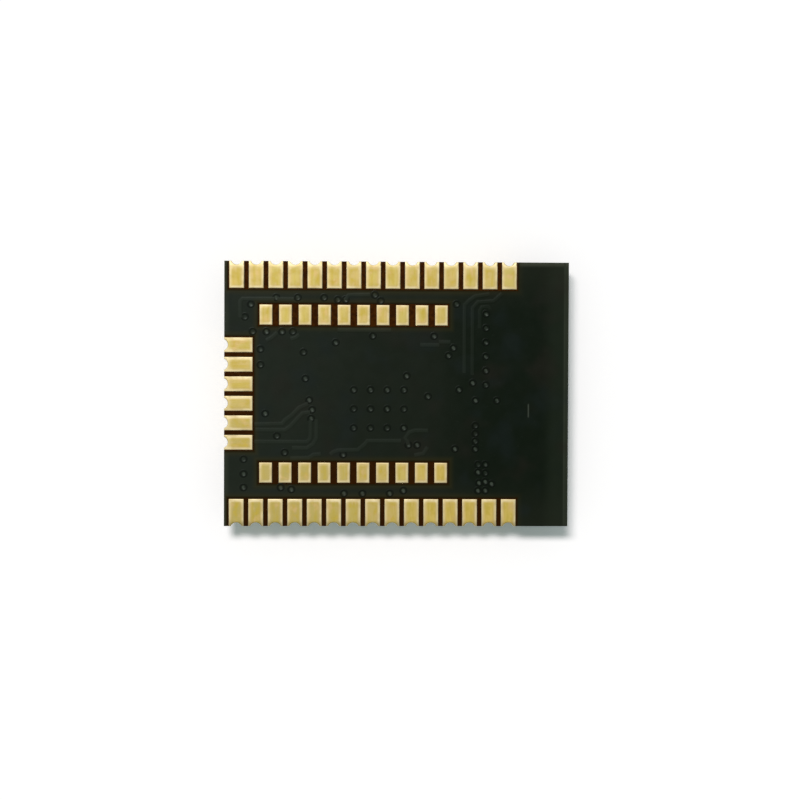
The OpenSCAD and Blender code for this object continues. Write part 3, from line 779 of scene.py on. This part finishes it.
def trace_tubes():
    """Round tubes along all traces, as one solid round the level of zero."""
    run = bpy.data.curves.new("trace_runs", "CURVE")
    run.dimensions = "3D"
    run.bevel_depth = TRACE_W / 2
    run.bevel_resolution = TRACE_ROUND_STEPS
    run.use_fill_caps = True
    for path in RAISED_TRACES:
        line = run.splines.new("POLY")
        line.points.add(len(path) - 1)
        for point, (x, y) in zip(line.points, path):
            point.co = (x * MM, y * MM, 0, 1)
    former = bpy.data.objects.new("trace_former", run)
    bpy.context.scene.collection.objects.link(former)
    shape = bpy.data.meshes.new_from_object(
        former.evaluated_get(bpy.context.evaluated_depsgraph_get()))
    solid = bmesh.new()
    solid.from_mesh(shape)
    bpy.data.objects.remove(former)
    bpy.data.curves.remove(run)
    bpy.data.meshes.remove(shape)
    bmesh.ops.remove_doubles(solid, verts=solid.verts, dist=SAME_POINT)
    return solid


def raised_traces(finish):
    """Copper traces that show as low ridges in the mask, with a round crest and flat feet."""
    solid = trace_tubes()
    half = TRACE_W / 2
    for vert in solid.verts:
        vert.co.z = math.copysign(half * abs(vert.co.z / half) ** TRACE_CREST_POWER, vert.co.z)
    upper_half(solid)
    set_on_mask(solid, half, TRACE_RISE)
    return make_piece(solid, "raised_traces", finish)


def via_places(node):
    """The middle of each barrel in a node of vias."""
    solid = merged_copy(node)
    places = []
    for barrel in islands(solid):
        xs = [v.co.x for v in barrel]
        ys = [v.co.y for v in barrel]
        places.append(((min(xs) + max(xs)) / 2, (min(ys) + max(ys)) / 2))
    solid.free()
    return sorted(places)


def add_ring(rings, x, y):
    """Spins a half-round section into a ring round one via."""
    turn = Matrix.Translation((VIA_RING_R, 0, 0)) @ Matrix.Rotation(math.radians(90), 4, "X")
    section = bmesh.ops.create_circle(
        rings, radius=VIA_RING_W / 2, segments=VIA_RING_SIDES, matrix=turn)["verts"]
    arch = [vert for vert in section if vert.co.z > -FLAT]
    under = [vert for vert in section if vert.co.z <= -FLAT]
    bmesh.ops.delete(rings, geom=under, context="VERTS")
    feet = [vert for vert in arch if vert.co.z < FLAT]
    bmesh.ops.contextual_create(rings, geom=feet)
    bmesh.ops.translate(rings, vec=(x, y, 0), verts=arch)
    edges = {edge for vert in arch for edge in vert.link_edges}
    bmesh.ops.spin(
        rings, geom=arch + list(edges), cent=(x, y, 0), axis=(0, 0, 1), angle=math.radians(360),
        steps=VIA_RING_STEPS, use_merge=True)


def via_rings(finish):
    """Low rings in the mask, over the copper collar of each via that it covers."""
    coat = merged_copy("land_side_mask")
    cover = BVHTree.FromBMesh(coat)
    coat.free()
    rings = bmesh.new()
    for node in ("thermal_vias", "fence_vias", "signal_vias"):
        for x, y in via_places(node):
            if cover.ray_cast((x, y, 1), (0, 0, -1))[0] is not None:
                add_ring(rings, x, y)
    set_on_mask(rings, VIA_RING_W / 2, VIA_RING_RISE)
    return make_piece(rings, "via_rings", finish)


def set_camera():
    """The camera at the photograph's place."""
    lens = bpy.data.cameras.new("photo_camera")
    lens.lens = CAMERA_LENS
    lens.clip_start = CAMERA_CLIP
    camera = bpy.data.objects.new("photo_camera", lens)
    camera.location = CAMERA_AT
    camera.rotation_euler = CAMERA_TURN
    bpy.context.scene.collection.objects.link(camera)
    bpy.context.scene.camera = camera


def set_light():
    """A strip of soft lamps and an even room."""
    lamp = bpy.data.lights.new("key_lamp", "SUN")
    lamp.energy = LAMP_STRENGTH
    lamp.color = LAMP_TINT
    lamp.angle = LAMP_SPREAD
    for lamp_from in LAMPS_FROM:
        holder = bpy.data.objects.new("key_lamp", lamp)
        holder.rotation_euler = lamp_from.to_track_quat("Z", "Y").to_euler()
        bpy.context.scene.collection.objects.link(holder)
    room = bpy.data.worlds.new("pale_room")
    room.use_nodes = True
    sky = room.node_tree.nodes["Background"]
    sky.inputs["Color"].default_value = (*ROOM_TINT, 1.0)
    sky.inputs["Strength"].default_value = ROOM_STRENGTH
    bpy.context.scene.world = room


def floor_finish():
    """White paper that shows its brighter tone only to the camera and in reflections."""
    finish = bpy.data.materials.new("white_floor")
    finish.use_nodes = True
    tree = finish.node_tree
    tree.nodes.clear()
    path = add(tree, "ShaderNodeLightPath").outputs
    seen = work(tree, "MAXIMUM", path["Is Camera Ray"], path["Is Glossy Ray"])
    seen = work(tree, "MAXIMUM", seen, path["Is Transmission Ray"])
    shade = tint(tree, seen, (*FLOOR_TINT, 1.0), (*FLOOR_SEEN, 1.0))
    paper = add(tree, "ShaderNodeBsdfDiffuse", {"Color": shade})
    glow = add(tree, "ShaderNodeEmission", {"Color": (*FLOOR_GLOW, 1.0), "Strength": seen})
    both = add(tree, "ShaderNodeAddShader", {0: paper.outputs[0], 1: glow.outputs[0]})
    add(tree, "ShaderNodeOutputMaterial", {"Surface": both.outputs[0]})
    return finish


def lay_floor():
    """A plain white floor that keeps the module's shadow."""
    sheet = bmesh.new()
    bmesh.ops.create_grid(sheet, x_segments=1, y_segments=1, size=FLOOR_SIZE / 2)
    bmesh.ops.translate(sheet, vec=(0, 0, cad_box[0][2] - FLOOR_GAP), verts=sheet.verts)
    mesh = bpy.data.meshes.new("floor")
    sheet.to_mesh(mesh)
    sheet.free()
    mesh.materials.append(floor_finish())
    floor = bpy.data.objects.new("floor", mesh)
    bpy.context.scene.collection.objects.link(floor)


bpy.context.scene.view_settings.view_transform = "Standard"
set_camera()
set_light()
lay_floor()

mask_black = mask_finish("solder_mask_black")
# painted shade: the mask darkened over the ring round each via
mask_shaded_rings = mask_finish("solder_mask_over_rings", RING_PAINTED_SHADE, RING_PAINTED_SHADE_SHARE)
# the trace crests: paler over the copper, and a painted highlight, most at the crest
mask_over_traces = mask_finish("solder_mask_over_traces", CREST_PALE_AND_HIGHLIGHT, CREST_PALE_AND_HIGHLIGHT_SHARE, TRACE_RISE)
land_gold = gold_finish("land_gold", with_rim=True)
end_land_gold = gold_finish("end_land_gold", with_rim=True, lines=STREAKS_ALONG)
plate_gold = gold_finish("plate_gold", with_rim=False)
nickel_silver = metal_finish(
    "can_nickel_silver", dull=linear(184, 181, 173), bright=linear(190, 187, 179),
    roughness=(0.3, 0.38), grain=6.0, depth=0.0008 * MM, stretch=(0.2, 3.0, 3.0))
soft_solder = metal_finish(
    "seam_solder", dull=linear(160, 162, 164), bright=linear(205, 207, 208),
    roughness=(0.22, 0.4), grain=8.0, depth=0.006 * MM)
tin_plate = metal_finish(
    "tin_plate", dull=linear(172, 171, 166), bright=linear(208, 207, 202),
    roughness=(0.35, 0.55), grain=12.0, depth=0.002 * MM)
bare_copper = metal_finish(
    "bare_copper", dull=linear(150, 90, 62), bright=linear(190, 122, 88),
    roughness=(0.35, 0.5), grain=10.0, depth=0.002 * MM)
lid_metal = metal_finish(
    "crystal_lid_metal", dull=linear(170, 168, 160), bright=linear(200, 198, 190),
    roughness=(0.25, 0.38), grain=9.0, depth=0.001 * MM, stretch=(5, 0.4, 1))
black_mould = moulded_finish(
    "processor_mould", dark=linear(28, 28, 29), pale=linear(48, 48, 48),
    roughness=(0.5, 0.7), grain=16.0, depth=0.004 * MM)
fired_base = moulded_finish(
    "crystal_base_ceramic", dark=linear(60, 56, 52), pale=linear(88, 82, 76),
    roughness=(0.45, 0.65), grain=14.0, depth=0.002 * MM)
chip_ceramic = moulded_finish(
    "capacitor_ceramic", dark=linear(128, 96, 66), pale=linear(164, 128, 92),
    roughness=(0.4, 0.6), grain=14.0, depth=0.002 * MM)
coil_ferrite = moulded_finish(
    "coil_ferrite", dark=linear(54, 54, 56), pale=linear(84, 84, 86),
    roughness=(0.5, 0.7), grain=18.0, depth=0.004 * MM)

dress(laminate_finish(), "board_laminate")
dress(mask_black, "part_side_mask")
dress(plate_gold, "can_ring", "processor_lands", "crystal_lands", "chip_lands")
dress(bare_copper, "thermal_vias", "fence_vias", "signal_vias", "antenna_trace")
dress(nickel_silver, "shield_can")
dress(soft_solder, "can_solder")
dress(tin_plate, "processor_contacts")

soft_lands("edge_lands_back", land_gold, mouth=(1, 1))
soft_lands("edge_lands_front", land_gold, mouth=(1, -1))
soft_lands("edge_lands_end", end_land_gold, mouth=(0, -1))
soft_lands("inner_lands_back", land_gold, upper_rim=INNER_BACK_RIM_HIGHLIGHT)
soft_lands("inner_lands_front", land_gold, upper_rim=INNER_FRONT_RIM_HIGHLIGHT)
soft_mask(mask_black)
raised_traces(mask_over_traces)
via_rings(mask_shaded_rings)

soft_parts("processor_body", "processor_moulding", black_mould, MOULD_EDGE_R)
soft_parts("main_crystal_base", "main_crystal_ceramic", fired_base, CRYSTAL_BASE_EDGE_R)
soft_parts(
    "clock_crystal_base", "clock_crystal_ceramic", fired_base, CRYSTAL_BASE_EDGE_R)
soft_parts("main_crystal_lid", "main_crystal_cap", lid_metal, CRYSTAL_LID_EDGE_R)
soft_parts("clock_crystal_lid", "clock_crystal_cap", lid_metal, CRYSTAL_LID_EDGE_R)
soft_parts("capacitor_bodies", "capacitor_blocks", chip_ceramic, CAPACITOR_EDGE_R)
soft_parts("capacitor_ends", "capacitor_caps", tin_plate, CAPACITOR_END_EDGE_R)
soft_parts("coil_bodies", "coil_blocks", coil_ferrite, COIL_EDGE_R)
soft_parts("coil_ends", "coil_caps", tin_plate, COIL_END_EDGE_R)
